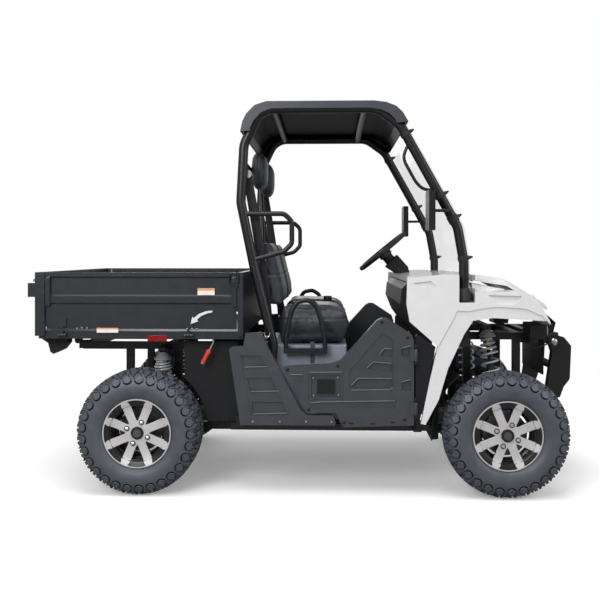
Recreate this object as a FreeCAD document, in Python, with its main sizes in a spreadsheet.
import FreeCAD, Part
import math
import os
import Sketcher
from FreeCAD import Placement, Rotation, Vector

# Side-by-side utility vehicle. Millimetres, +X forward, +Y to the left, +Z up.
# The origin is on the ground at the middle of the whole vehicle.
# Names that end in _x are ahead of the rear axle, and names that end in _back are behind the front axle.

SIZES = {
    # Whole vehicle
    "wheelbase": 1875, "front_overhang": 432, "rear_overhang": 578, "drawn_wheelbase": 1875,
    "running_gap": 0.3, "moving_gap": 8, "overrun": 20,
    # Tyres and rims
    "tyre_diameter": 635, "front_tyre_width": 203, "rear_tyre_width": 254, "tyre_outside": 740,
    "tyre_side_bulge": 10, "tyre_shoulder": 22, "tyre_crown_edge": 50, "tyre_wall": 14, "tyre_tread": 30,
    "tread_groove": 13,
    "rim_seat_radius": 152, "rim_lip_radius": 175, "rim_lip_width": 8, "rim_wall": 8, "rim_inset": 25,
    "rim_well_depth": 22, "rim_well_start": 46, "rim_well_end": 62,
    "rim_disc_inset": 18, "rim_disc_thickness": 22, "rim_window_inside": 62, "rim_window_outside": 134,
    "rim_window_narrow": 5, "rim_window_wide": 32, "rim_bore": 30, "lug_circle": 57.5, "lug_hole": 7,
    # Hubs, knuckles and suspension
    "hub_flange_radius": 72, "hub_flange_thickness": 10, "hub_radius": 38, "hub_inner": 10,
    "rotor_radius": 112, "rotor_thickness": 5, "rotor_inner": 6,
    "kingpin_y": 575, "ball_joint_rise": 80, "ball_joint_radius": 20, "ball_joint_height": 24,
    "stud_radius": 8, "post_radius": 18, "spindle_radius": 40, "spindle_inner": 15,
    "steering_arm": 100, "steering_arm_width": 24, "steering_arm_thickness": 16, "steering_arm_rise": 48,
    "tie_rod_radius": 9, "tie_rod_end_radius": 13, "rack_housing_half": 200, "rack_housing_wall": 5,
    "arm_pivot_half": 136, "lower_pivot_z": 275, "upper_pivot_z": 430, "arm_tube": 12,
    "rear_upright_y": 550,
    "shock_foot_y": 430, "shock_foot_back": 15, "shock_top_y": 370, "shock_top_back": 45, "shock_top_z": 812,
    "rear_shock_x": 75, "rear_shock_top_y": 395, "rear_shock_top_z": 690,
    "shock_eye": 16, "shock_body": 22, "shock_rod": 9, "spring_radius": 43, "spring_wire": 6,
    "spring_pitch": 36, "spring_seat": 8, "shock_cap": 50,
    # Frame
    "rail_y": 270, "rail_width": 40, "rail_bottom": 255, "deck_rail_top": 740, "deck_rail_end_x": -400,
    "rear_post_x": -156, "axle_post_x": 116, "mid_post_x": 300, "seat_post_x": 640, "rail_rear_x": -250,
    "rail_front_back": -250, "front_post_back": 156, "nose_post_back": -116, "front_rail_top": 800, "tower_half": 405,
    "sill_y": 590, "sill_width": 60, "sill_bottom": 322, "sill_height": 32, "sill_rear_x": 470,
    "outrigger_back": 465, "panel_tab_low": 340, "panel_tab_high": 400, "panel_tab_rear_x": 500,
    "panel_tab_front_x": 900, "mount_thickness": 30, "mount_offset": 40, "bed_rest_x": 437,
    "hitch_length": 120, "hitch_width": 64, "hitch_plate": 12, "hitch_hole": 10, "hitch_z": 270,
    # Engine, gearcases and shafts
    "engine_rear_x": 330, "engine_front_x": 630, "engine_half": 200, "engine_bottom": 330, "engine_top": 690,
    "gearcase_half": 105, "gearcase_width": 100, "gearcase_height": 130, "front_gearcase_half": 80,
    "prop_radius": 16, "shaft_radius": 14, "boot_radius": 34, "boot_length": 60, "boot_end_y": 528,
    # Floor, seat base
    "floor_rear_x": 690, "floor_sheet": 5, "floor_half": 600, "toe_back": 435,
    "firewall_back": 365, "toe_top": 590, "firewall_top": 1020,
    "base_rear_x": 690, "base_front_x": 1070, "base_top": 752, "base_clearance": 93, "base_sheet": 6,
    # Front body
    "body_half": 690, "drawn_body_half": 690, "skin": 5, "skirt_depth": 32, "cowl_rear_back": 505,
    "body_front_back": -216, "body_bottom": 336, "body_top": 1128, "deck_inner_y": 425,
    "hood_half": 415, "hood_front_half": 300, "hood_rear_back": 125, "hood_front_back": -300,
    "hood_rear_z": 1124, "hood_front_z": 958, "hood_skin": 6, "hood_hinge_drop": 20, "hood_hinge_in": 16,
    "hood_hinge_y": 272, "hood_hinge_radius": 6, "hood_pin": 3, "hood_hinge_width": 20, "hood_lug": 12,
    "hood_lug_start": 22,
    "notch_rear_back": 240, "notch_front_back": 160, "notch_floor": 985, "notch_inner_y": 560, "notch_sheet": 8,
    "nose_half": 240, "nose_top": 912, "nose_bottom": 560, "nose_rear_back": -253, "nose_front_back": -365,
    "grille_tab": 60, "lamp_y": 470, "lamp_half": 85, "lamp_top": 868, "lamp_height": 74, "lamp_front_back": -236, "lamp_depth": 90,
    "dash_half": 565, "dash_rear_back": 527, "dash_bottom": 812, "dash_top": 1090,
    "liner_radius": 372, "liner_outer_y": 650, "liner_inner_y": 430,
    # Side panels and doors
    "side_half": 690, "side_thickness": 42, "quarter_rear_x": 469, "quarter_front_x": 1030,
    "panel_bottom": 355, "quarter_height": 551, "rib_depth": 4, "slat_depth": 11, "flare_step": 6,
    "door_rear_x": 734, "door_front_back": 468, "door_bottom": 364, "door_height": 551,
    "hinge_back": 458, "hinge_radius": 9, "hinge_pin_radius": 4, "hinge_length": 60, "hinge_eye": 20,
    "hinge_low_z": 420, "hinge_high_z": 690, "trim_outer_y": 680, "trim_inner_y": 648, "trim_rear_back": 457,
    "trim_front_back": 357, "trim_bottom": 340, "trim_height": 486,
    "shield_y": 562, "shield_sheet": 6, "shield_front_x": 505, "shield_top": 775, "shield_radius": 342,
    # Roll cage, roof and screen
    "cage_half": 600, "cage_tube": 25, "cage_bend": 120, "small_tube": 13, "small_bend": 40,
    "pillar_base_x": 650, "pillar_foot_x": 690, "pillar_foot_z": 760, "pillar_low_x": 592, "pillar_low_z": 1150,
    "pillar_mid_x": 520, "pillar_mid_z": 1500, "pillar_high_x": 536, "pillar_high_drop": 220,
    "roof_rear_x": 519, "roof_front_back": 488, "roof_top": 2020, "roof_height": 157, "roof_half": 640,
    "roof_skin": 8, "roof_skirt": 42, "cage_rear_x": 625, "cage_front_back": 650,
    "brow_back": 530, "brow_drop": 120, "screen_foot_back": 235, "screen_foot_z": 1370,
    "pillar_front_back": 203, "pillar_front_z": 1190,
    "headrest_bar_drop": 320, "belt_bar_z": 1230, "hoop_top": 1440, "hoop_front_x": 786, "hoop_low": 1245,
    "hoop_foot": 1200, "hoop_y": 608,
    "screen_half": 612, "screen_thickness": 5, "screen_top_drop": 170, "screen_bottom_z": 1125,
    "mirror_z": 1450, "mirror_height": 200, "mirror_width": 150, "mirror_depth": 32, "mirror_y": 700,
    "mirror_back": 370,
    # Seats
    "seat_inner_y": 45, "seat_outer_y": 520, "cushion_rear_x": 700, "cushion_front_x": 1100,
    "cushion_height": 205, "cushion_round": 28,
    "back_rear_x": 593, "back_depth": 150, "back_height": 345,
    "headrest_depth": 84, "headrest_width": 250, "headrest_height": 212,
    "headrest_drop": 435, "rail_loop_stand": 35, "rail_loop_rear_x": 755, "rail_loop_front_x": 957,
    "rail_loop_foot": 740, "rail_loop_top": 993,
    # Steering wheel and controls
    "wheel_y": 350, "wheel_centre_back": 559, "wheel_centre_z": 1250, "wheel_radius": 170, "wheel_rim": 14,
    "wheel_hub": 42, "wheel_hub_height": 40, "spoke_width": 34, "spoke_thickness": 10, "column_radius": 34,
    "column_length": 190, "lever_x": 970, "lever_top": 985, "lever_radius": 8, "knob_radius": 24,
    "pedal_width": 60, "pedal_height": 80, "pedal_z": 520,
    # Bumper
    "bumper_leg_y": 250, "bumper_leg_width": 50, "bumper_rear_back": -297, "bumper_bottom": 438,
    "bumper_height": 354, "bumper_tube": 22,
    # Bed
    "bed_rear_x": -541, "bed_front_x": 537, "bed_half": 665, "bed_floor_z": 823, "bed_floor": 10,
    "bed_top": 1137, "bed_wall": 26, "post_length": 50, "bed_rail_y": 282, "bed_rail_width": 24,
    "bed_rail_bottom": 775, "bed_hinge_x": -430, "bed_hinge_z": 748, "hinge_ear": 18, "hinge_pin": 8,
    "ear_thickness": 12, "ridge_low": 980, "ridge_high": 1014, "ridge_step": 8, "lip_height": 22,
    "bed_sill": 15, "gate_pivot_z": 813, "gate_barrel": 8, "gate_strap": 6, "gate_strap_width": 46,
    "latch_length": 37, "latch_low": 1009, "latch_high": 1081, "toggle_width": 22, "toggle_out": 9,
    "toggle_low": 966, "toggle_high": 1118, "toggle_round": 14,
    "lamp_bracket_y": 520, "tail_lamp_half": 40, "tail_lamp_top": 790, "tail_lamp_height": 88,
    "tail_lamp_rear_x": -551, "tail_lamp_length": 150,
    "lever_rod": 6, "lever_grip": 11, "bed_lever_x": 380, "bed_lever_top": 773, "bed_lever_reach": 58,
    "bed_lever_drop": 110, "bed_lever_y": 620, "grip_length": 70,
}
ANGLES = {"wheel_rake": 39.6}
COUNTS = {"spoke_count": 8, "lug_count": 4, "tread_blocks": 29, "coil_steps": 10, "wire_sides": 6}
# Widths that narrow and widen with the body.
BODY_WIDTHS = (
    "sill_y", "floor_half", "deck_inner_y", "hood_half", "hood_front_half", "hood_hinge_y", "notch_inner_y",
    "lamp_y", "dash_half", "liner_outer_y", "side_half", "trim_outer_y", "trim_inner_y", "shield_y", "cage_half",
    "roof_half", "hoop_y", "screen_half", "mirror_y", "seat_inner_y", "seat_outer_y", "wheel_y", "bed_half",
    "bed_lever_y",
)
PIVOT_GROWTH = 1.3

# Outlines as shares of their own length and height, from the rear bottom corner.
DOOR_SHARES = (
    (0.016, 0.523), (0.052, 0.537), (0.367, 0.557), (0.446, 0.59), (0.725, 0.964), (0.761, 0.985),
    (0.804, 0.98), (0.982, 0.838), (1.0, 0.773), (1.0, 0.0), (0.478, -0.022), (0.459, -0.004),
    (0.428, 0.071), (0.416, 0.111), (0.223, 0.113), (0.184, 0.145),
)
QUARTER_SHARES = (
    (0.0, 0.71), (0.036, 0.733), (0.13, 0.737), (0.148, 0.855), (0.291, 0.866), (0.357, 0.722),
    (0.658, 0.143), (0.715, 0.103), (0.947, 0.103), (0.968, 0.034), (0.957, 0.009), (0.103, 0.009),
)
FENDER_SHARES = (
    (0.007, 0.982), (0.0, 0.807), (0.022, 0.697), (0.219, 0.538), (0.165, 0.328),
    (0.104, 0.058), (0.1, 0.045), (0.133, 0.038), (0.147, 0.063), (0.226, 0.199), (0.29, 0.396), (0.402, 0.616),
    (0.466, 0.705), (0.602, 0.722), (1.0, 0.702), (0.975, 0.74), (0.924, 0.817), (0.888, 0.867),
    (0.791, 0.889), (0.487, 0.893), (0.46, 0.944), (0.513, 0.992), (0.262, 1.0), (0.06, 0.98),
)
DECK_SHARES = (
    (0.460, 0.944), (0.487, 0.893), (0.790, 0.889), (0.888, 0.867), (0.923, 0.817), (1.0, 0.696),
    (1.0, 0.680), (0.900, 0.790), (0.865, 0.848), (0.780, 0.872), (0.478, 0.876), (0.440, 0.930),
)
FLARE_SHARES = (
    (0.219, 0.538), (0.330, 0.720), (0.352, 0.768), (0.451, 0.765), (0.486, 0.778), (0.617, 0.793), (0.832, 0.782),
    (0.911, 0.750), (1.01, 0.724), (1.01, 0.66), (0.64, 0.66), (0.52, 0.64), (0.31, 0.30), (0.18, -0.02),
    (0.02, -0.02), (0.11, 0.30),
)
FENDER_RECESS_SHARES = (
    ((0.57, 0.868), (0.80, 0.862), (0.79, 0.84), (0.745, 0.808), (0.646, 0.808), (0.61, 0.845)),
    ((0.047, 0.944), (0.169, 0.958), (0.212, 0.923), (0.114, 0.923)),
)
DOOR_RECESS_SHARES = (
    ((0.514, 0.494), (0.761, 0.844), (0.829, 0.802), (0.848, 0.777), (0.848, 0.352), (0.829, 0.327),
     (0.529, 0.323), (0.514, 0.348)),
    ((0.209, 0.227), (0.472, 0.227), (0.472, 0.483), (0.209, 0.483)),
    ((0.071, 0.465), (0.169, 0.465), (0.169, 0.401), (0.105, 0.401)),
    ((0.22, 0.2), (0.863, 0.223), (0.868, 0.165), (0.22, 0.149)),
)
DOOR_SLAT_SHARES = (
    ((0.75, 0.639), (0.78, 0.702), (0.838, 0.699), (0.838, 0.628)),
    ((0.657, 0.519), (0.691, 0.583), (0.838, 0.568), (0.838, 0.483)),
    ((0.532, 0.348), (0.584, 0.432), (0.838, 0.434), (0.838, 0.339)),
    ((0.906, 0.639), (0.906, 0.717), (0.978, 0.724), (0.978, 0.633)),
    ((0.912, 0.328), (0.912, 0.407), (0.978, 0.414), (0.978, 0.316)),
    ((0.229, 0.256), (0.45, 0.256), (0.45, 0.457), (0.229, 0.457)),
)
DOOR_PLATE_SHARES = ((0.263, 0.294), (0.397, 0.294), (0.397, 0.414), (0.263, 0.414))
QUARTER_RECESS_SHARES = ((0.1, 0.655), (0.291, 0.657), (0.321, 0.59), (0.545, 0.100), (0.200, 0.100))
QUARTER_SLAT_SHARES = (
    ((0.115, 0.645), (0.289, 0.645), (0.338, 0.550), (0.138, 0.550)),
    ((0.166, 0.443), (0.388, 0.443), (0.440, 0.316), (0.189, 0.316)),
    ((0.209, 0.221), (0.482, 0.223), (0.528, 0.115), (0.214, 0.115)),
)
COWL_SHARES = (
    (0.007, 0.982), (0.060, 0.980), (0.262, 1.0), (0.513, 0.993), (0.460, 0.944), (0.440, 0.930),
    (0.470, 0.975), (0.262, 0.982), (0.065, 0.962), (0.012, 0.950),
)
ROOF_SHARES = (
    (0.0, 0.0), (0.014, 0.350), (0.037, 0.599), (0.086, 0.873), (0.156, 1.0),
    (0.798, 1.0), (0.867, 0.949), (0.924, 0.828), (0.965, 0.618), (1.0, 0.287), (0.962, 0.250),
)
CUSHION_SHARES = ((0.02, 0.0), (0.94, 0.10), (1.0, 0.50), (0.92, 0.88), (0.70, 0.98), (0.06, 1.0))
BACK_SHARES = ((0.32, 0.0), (0.96, 0.0), (0.90, 0.28), (0.48, 1.0), (0.0, 1.0), (0.06, 0.45))
BUMPER_SHARES = (
    (0.0, 0.98), (0.28, 1.0), (0.72, 0.95), (1.0, 0.82), (0.94, 0.30), (0.70, 0.18), (0.55, 0.02),
    (0.25, 0.0), (0.0, 0.14), (0.22, 0.72),
)
LAMP_SHARES = ((0.0, 0.97), (0.28, 0.66), (0.36, 0.13), (0.47, 0.0), (0.80, 0.25), (1.0, 0.67), (1.0, 1.0))
NOSE_SHARES = (
    (0.0, 1.0), (0.45, 0.98), (1.0, 0.824), (0.866, 0.653), (0.40, 0.568), (0.40, 0.0), (0.304, 0.0),
    (0.304, 0.585), (0.795, 0.668), (0.911, 0.815), (0.42, 0.957), (0.0, 0.977),
)
TRIM_SHARES = ((0.0, 0.0), (0.10, 0.0), (0.64, 0.514), (1.0, 0.865), (0.06, 1.0), (0.0, 0.97))
HINGE_SHARES = (0.13, 0.74)
TAIL_HINGE_SHARES = (0.2, 0.8)
CROSS_SHARES = (0.3, 0.6, 0.88)
DASH_SHARES = ((0.055, 0.86), (0.0, 0.57), (0.25, 0.23), (0.55, 0.0), (1.0, 0.0), (1.0, 0.97), (0.30, 1.0))
LOOP_SHARES = ((0.0, 0.0), (0.0, 0.22), (0.13, 0.75), (0.28, 0.96), (0.56, 1.0), (0.77, 0.90), (0.90, 0.59), (1.0, 0.2),
               (1.0, 0.0))

doc = FreeCAD.newDocument("side_by_side_utility_vehicle")
NODES = {}


class Size(float):
    """A length with the expression over the sheet's cells that gives it."""

    def __new__(cls, value, text):
        made = super().__new__(cls, value)
        made.text = text
        return made

    def __add__(self, other):
        return Size(float(self) + float(other), f"({self.text} + {term(other)})")

    def __radd__(self, other):
        return Size(float(other) + float(self), f"({term(other)} + {self.text})")

    def __sub__(self, other):
        return Size(float(self) - float(other), f"({self.text} - {term(other)})")

    def __rsub__(self, other):
        return Size(float(other) - float(self), f"({term(other)} - {self.text})")

    def __mul__(self, other):
        return Size(float(self) * float(other), f"({self.text} * {term(other)})")

    def __rmul__(self, other):
        return Size(float(other) * float(self), f"({term(other)} * {self.text})")

    def __truediv__(self, other):
        return Size(float(self) / float(other), f"({self.text} / {term(other)})")

    def __neg__(self):
        return Size(-float(self), f"(0 - {self.text})")


def term(value):
    """What an expression says for a size or a plain number."""
    return value.text if isinstance(value, Size) else repr(float(value))


def write_sheet():
    """Puts every driving dimension into the sheet, one named cell each."""
    sheet = doc.addObject("Spreadsheet::Sheet", "sizes")
    for row, (name, value) in enumerate({**SIZES, **ANGLES, **COUNTS}.items(), 1):
        sheet.set(f"A{row}", name)
        sheet.set(f"B{row}", str(value))
        sheet.setAlias(f"B{row}", name)
    doc.recompute()
    return sheet


sheet = write_sheet()


def cell(name):
    return Size(sheet.get(name), f"sizes.{name}")


def size(name):
    """A length; places along the vehicle follow its wheelbase, and widths of the body follow the body's."""
    if name.endswith("_x") or name.endswith("_back"):
        return cell(name) * (cell("wheelbase") / cell("drawn_wheelbase"))
    if name in BODY_WIDTHS:
        return cell(name) * (cell("body_half") / cell("drawn_body_half"))
    return cell(name)


def bind(thing, field, value):
    thing.setExpression(field, term(value))


def keep(thing, label):
    """Marks a finished sub-part."""
    thing.Label = label
    NODES[label] = thing
    return thing


# Datums
OVERALL = size("rear_overhang") + size("wheelbase") + size("front_overhang")
REAR_AXLE = size("rear_overhang") - OVERALL / 2
FRONT_AXLE = REAR_AXLE + size("wheelbase")
AXLE_Z = size("tyre_diameter") / 2


def floor_low():
    """The underside of the floor, just above the sills."""
    return size("sill_bottom") + size("sill_height") + size("running_gap")


def below_roof(name):
    """A height given below the top of the roof."""
    return size("roof_top") - size(name)


def base_half():
    """Half the width of the seat box, which stands clear inside the doors."""
    return size("side_half") - size("side_thickness") - size("base_clearance")


def arm_pivot_y():
    """Where the wishbones pivot, just outside the frame's rails."""
    return size("rail_y") + size("rail_width") / 2 + size("arm_tube") * PIVOT_GROWTH + size("running_gap")


def ahead(name):
    """A place given ahead of the rear axle."""
    return REAR_AXLE + size(name)


def behind(name):
    """A place given behind the front axle."""
    return FRONT_AXLE - size(name)


# Makers of simple solids
def block(name, xs, ys, zs):
    box = doc.addObject("Part::Box", name)
    for side, base, (low, high) in zip(("Length", "Width", "Height"), "xyz", (xs, ys, zs)):
        bind(box, side, high - low)
        bind(box, f"Placement.Base.{base}", low)
    return box


def around(centre, width):
    """The two ends of a width about its centre."""
    return centre - width / 2, centre + width / 2


TURNS = {"x": Rotation(Vector(0, 1, 0), 90), "y": Rotation(Vector(1, 0, 0), -90), "z": Rotation()}


def cylinder(name, axis, start, length, radius):
    """A cylinder from its start along +X, +Y or +Z."""
    rod = doc.addObject("Part::Cylinder", name)
    rod.Placement = Placement(Vector(), TURNS[axis])
    bind(rod, "Radius", radius)
    bind(rod, "Height", length)
    for base, value in zip("xyz", start):
        bind(rod, f"Placement.Base.{base}", value)
    return rod


def join(name, parts):
    fused = doc.addObject("Part::MultiFuse", name)
    fused.Shapes = parts
    fused.Refine = False
    return fused


def carve(name, base, tools):
    cut = doc.addObject("Part::Cut", name)
    cut.Base = base
    cut.Tool = tools[0] if len(tools) == 1 else join(f"{name}_tools", tools)
    return cut


def group(name, parts):
    """Solids of one node that stay apart."""
    together = doc.addObject("Part::Compound", name)
    together.Links = parts
    return together


def mirrored(name, thing):
    """The same piece on the left of the vehicle."""
    copy = doc.addObject("Part::Mirroring", name)
    copy.Source = thing
    copy.Normal = Vector(0, 1, 0)
    return copy


def pair(name, thing):
    return group(name, [thing, mirrored(f"{name}_left", thing)])


def both(name, parts):
    """Joined pieces of the right side with the same on the left, as one list."""
    return parts + [mirrored(f"{name}_left_{part.Name}", part) for part in parts]


# Makers of sketched bodies
def plane(body, role):
    return next(item for item in body.Origin.OriginFeatures if item.Role == role)


def sketch(body, name, role, outline, offset):
    """A closed outline of straight sides on one of the body's planes, each corner bound to the sheet."""
    drawn = body.newObject("Sketcher::SketchObject", name)
    drawn.AttachmentSupport = [(plane(body, role), "")]
    drawn.MapMode = "FlatFace"
    bind(drawn, "AttachmentOffset.Base.z", offset)
    corners = [Vector(float(a), float(b), 0) for a, b in outline]
    count = len(corners)
    drawn.addGeometry([Part.LineSegment(corners[i], corners[(i + 1) % count]) for i in range(count)])
    drawn.addConstraint([Sketcher.Constraint("Coincident", i, 2, (i + 1) % count, 1) for i in range(count)])
    for index, (a, b) in enumerate(outline):
        for kind, value in (("DistanceX", a), ("DistanceY", b)):
            number = drawn.addConstraint(Sketcher.Constraint(kind, -1, 1, index, 1, float(value)))
            drawn.setExpression(f"Constraints[{number}]", term(value))
    return drawn


def ring_sketch(body, name, role, radius, offset, centre=None):
    """A circle on one of the body's planes."""
    drawn = body.newObject("Sketcher::SketchObject", name)
    drawn.AttachmentSupport = [(plane(body, role), "")]
    drawn.MapMode = "FlatFace"
    bind(drawn, "AttachmentOffset.Base.z", offset)
    across, up = centre or (size("running_gap") * 0, size("running_gap") * 0)
    drawn.addGeometry(Part.Circle(Vector(float(across), float(up), 0), Vector(0, 0, 1), float(radius)))
    for kind, value in (("DistanceX", across), ("DistanceY", up)):
        number = drawn.addConstraint(Sketcher.Constraint(kind, -1, 1, 0, 3, float(value)))
        drawn.setExpression(f"Constraints[{number}]", term(value))
    number = drawn.addConstraint(Sketcher.Constraint("Radius", 0, float(radius)))
    drawn.setExpression(f"Constraints[{number}]", term(radius))
    return drawn


def pad(body, name, drawn, length):
    feature = body.newObject("PartDesign::Pad", name)
    feature.Profile = drawn
    bind(feature, "Length", length)
    return feature


def side_panel(name, outline, outer, inner):
    """A panel drawn from the side, between two distances from the middle, on the right of the vehicle."""
    body = doc.addObject("PartDesign::Body", name)
    pad(body, f"{name}_pad", sketch(body, f"{name}_outline", "XZ_Plane", outline, inner), outer - inner)
    return body


def across_panel(name, outline, half):
    """A panel drawn from the side and carried across the whole vehicle."""
    return side_panel(name, outline, half, -half)


def long_section(name, outline, low, high):
    """A section across the vehicle, carried along it."""
    body = doc.addObject("PartDesign::Body", name)
    pad(body, f"{name}_pad", sketch(body, f"{name}_section", "YZ_Plane", outline, low), high - low)
    return body


def pocket(body, name, outline, outer, depth):
    """A recess cut into the outer side of a right-hand panel."""
    drawn = sketch(body, f"{name}_outline", "XZ_Plane", outline, outer)
    feature = body.newObject("PartDesign::Pocket", name)
    feature.Profile = drawn
    bind(feature, "Length", depth)
    return feature


def shares(table, low_x, high_x, low_z, height):
    """An outline from its shares of a length and a height."""
    return [(low_x + (high_x - low_x) * a, low_z + height * b) for a, b in table]


def turned(name, outline):
    """A body turned about the Y axis from an outline of radius and place along the axis."""
    body = doc.addObject("PartDesign::Body", name)
    drawn = sketch(body, f"{name}_outline", "XY_Plane", outline, size("running_gap") * 0)
    feature = body.newObject("PartDesign::Revolution", f"{name}_turn")
    feature.Profile = drawn
    feature.ReferenceAxis = (drawn, ["V_Axis"])
    feature.Angle = 360
    return body


def put(thing, x, y, z):
    for base, value in zip("xyz", (x, y, z)):
        bind(thing, f"Placement.Base.{base}", value)
    return thing


# Makers of bent tubes
def bent_path(points, bend):
    """Straight runs joined by arcs of one bend radius, shortened where a run is too short for it."""
    corners = [Vector(*[float(v) for v in point]) for point in points]
    edges = []
    start = corners[0]
    for before, corner, after in zip(corners, corners[1:], corners[2:]):
        back = (before - corner).normalize()
        onward = (after - corner).normalize()
        half_turn = (math.pi - back.getAngle(onward)) / 2
        reach = min(float(bend) * math.tan(half_turn), (before - corner).Length / 2, (after - corner).Length / 2)
        first = corner + back * reach
        last = corner + onward * reach
        middle_way = (back + onward).normalize()
        radius = reach / math.tan(half_turn)
        middle = corner + middle_way * (radius / math.cos(half_turn) - radius)
        if (first - start).Length > float(bend) / 1000:
            edges.append(Part.LineSegment(start, first).toShape())
        edges.append(Part.Arc(first, middle, last).toShape())
        start = last
    if (corners[-1] - start).Length > float(bend) / 1000:
        edges.append(Part.LineSegment(start, corners[-1]).toShape())
    return Part.Wire(edges)


def tube(points, radius, bend):
    path = bent_path(points, bend)
    first = path.Edges[0]
    way = first.tangentAt(first.FirstParameter)
    ring = Part.Wire([Part.Circle(first.valueAt(first.FirstParameter), way, float(radius)).toShape()])
    return path.makePipeShell([ring], True, False)


def rod(start, end, radius):
    """A straight round bar between two points."""
    low, high = (Vector(*[float(v) for v in point]) for point in (start, end))
    return Part.makeCylinder(float(radius), (high - low).Length, low, high - low)


def flip(shape):
    """The same shape on the other side of the vehicle."""
    return shape.mirror(Vector(0, 0, 0), Vector(0, 1, 0))


def made(name, shape):
    """A feature with a shape of its own."""
    thing = doc.addObject("Part::Feature", name)
    thing.Shape = shape
    thing.Placement = Placement()
    return thing


def fused(shapes):
    return shapes[0].multiFuse(shapes[1:]) if len(shapes) > 1 else shapes[0]


# Makers of faceted solids
def facet(*corners):
    return Part.Face(Part.makePolygon([*corners, corners[0]]))


def strip(one, two):
    """Triangles between two closed rows of points, where the second may have half as many."""
    count = len(one)
    step = count // len(two)
    faces = []
    for i in range(count):
        here, after = two[i // step], two[(i + 1) // step % len(two)]
        faces.append(facet(one[i], one[(i + 1) % count], after))
        if i // step != (i + 1) // step:
            faces.append(facet(one[i], after, here))
    return faces


def closed_solid(faces):
    shell = Part.makeShell(faces)
    shell.sewShape()
    solid = Part.makeSolid(shell)
    if solid.Volume < 0:
        solid.reverse()
    return solid


# Wheels
def wheel_middle(width):
    """How far a wheel's middle is from the middle of the vehicle."""
    return size("tyre_outside") - width / 2


def tread_rows(half):
    """Side wall, shoulder and crown rows of one side, where the blocks of shoulder and crown take turns."""
    tip, wall, groove = AXLE_Z, size("tyre_wall"), size("tread_groove")
    side = [(tip - size("tyre_crown_edge") * 1.5, half)] * 2
    shoulder = [(tip - wall / 2 - groove, half - size("tyre_shoulder")),
                (tip - wall / 2, half - size("tyre_shoulder") * 0.7)]
    crown = [(tip, half - size("tyre_crown_edge")), (tip - groove, half - size("tyre_crown_edge"))]
    return [side, shoulder, crown]


def bead_rows(half, stretch):
    """Rows of one side from the side wall over the lip and the bead to the inside of the crown."""
    bead = half - size("rim_inset") - size("rim_lip_width") - size("running_gap")
    seat = (size("rim_seat_radius") + size("running_gap")) * stretch
    lip = (size("rim_lip_radius") + size("running_gap")) * stretch
    wall = size("tyre_wall")
    return [(lip + wall / 2, half - size("tyre_side_bulge")), (lip, bead), (seat, bead), (seat, bead - wall),
            (AXLE_Z - size("tyre_crown_edge") * 1.5, half - wall * 1.5),
            (AXLE_Z - size("tyre_tread"), half - size("tyre_crown_edge"))]


def tyre(name, x, width, side):
    """A hollow tyre of flat facets, with a row of tread blocks on each side of its middle."""
    blocks, half = COUNTS["tread_blocks"], width / 2

    def row(places, side_sign):
        count = blocks * len(places)
        angles = [2 * math.pi * i / count - math.pi / 2 for i in range(count)]
        spots = [places[i % len(places)] for i in range(count)]
        return [Vector(float(r) * math.cos(a), float(y) * side_sign, float(r) * math.sin(a))
                for a, (r, y) in zip(angles, spots)]

    inner = bead_rows(half, 1 / math.cos(math.pi / blocks))
    loops = []
    for side_sign in (-1, 1):
        outer_rows = [row(places, side_sign) for places in tread_rows(half)]
        inner_rows = [row([place], side_sign) for place in inner]
        loops.append(inner_rows[::-1] + outer_rows)
    around_section = loops[0] + loops[1][::-1]
    faces = []
    for one, two in zip(around_section, around_section[1:] + around_section[:1]):
        faces += strip(one, two) if len(one) >= len(two) else strip(two, one)
    thing = made(name, closed_solid(faces))
    put(thing, x, wheel_middle(width) * side, AXLE_Z)
    return keep(thing, name)


def barrel_outline(width):
    """The rim's barrel: two lips, two seats and the drop well between them."""
    edge = width / 2 - size("rim_inset")
    lip, seat = size("rim_lip_radius"), size("rim_seat_radius")
    flange, wall = size("rim_lip_width"), size("rim_wall")
    well = seat - size("rim_well_depth")
    out, back = size("rim_well_start"), size("rim_well_end")
    outer = [
        (lip, -edge), (lip, flange - edge), (seat, flange - edge), (seat, out - edge),
        (well, out + wall - edge), (well, edge - back), (seat, edge - back + size("rim_well_depth")),
        (seat, edge - flange), (lip, edge - flange), (lip, edge),
    ]
    inner = [
        (lip - wall, edge), (seat - wall, edge - flange), (well - wall, edge - back - wall),
        (well - wall, out + wall * 1.5 - edge), (seat - wall, out - wall / 2 - edge),
        (seat - wall, flange - edge), (lip - wall, -edge),
    ]
    return outer + inner


def window_outline():
    """One opening between two spokes, narrow at the hub and wide at the barrel."""
    inside, outside = size("rim_window_inside"), size("rim_window_outside")
    narrow, wide = size("rim_window_narrow"), size("rim_window_wide")
    return [(-narrow, inside), (narrow, inside), (wide, outside - narrow), (wide * 0.8, outside),
            (wide * -0.8, outside), (-wide, outside - narrow)]


def repeat_round(body, name, feature, drawn, count):
    ring = body.newObject("PartDesign::PolarPattern", name)
    ring.Originals = [feature]
    ring.Axis = (drawn, ["N_Axis"])
    ring.Angle = 360
    bind(ring, "Occurrences", size(count))
    body.Tip = ring
    return ring


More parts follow.
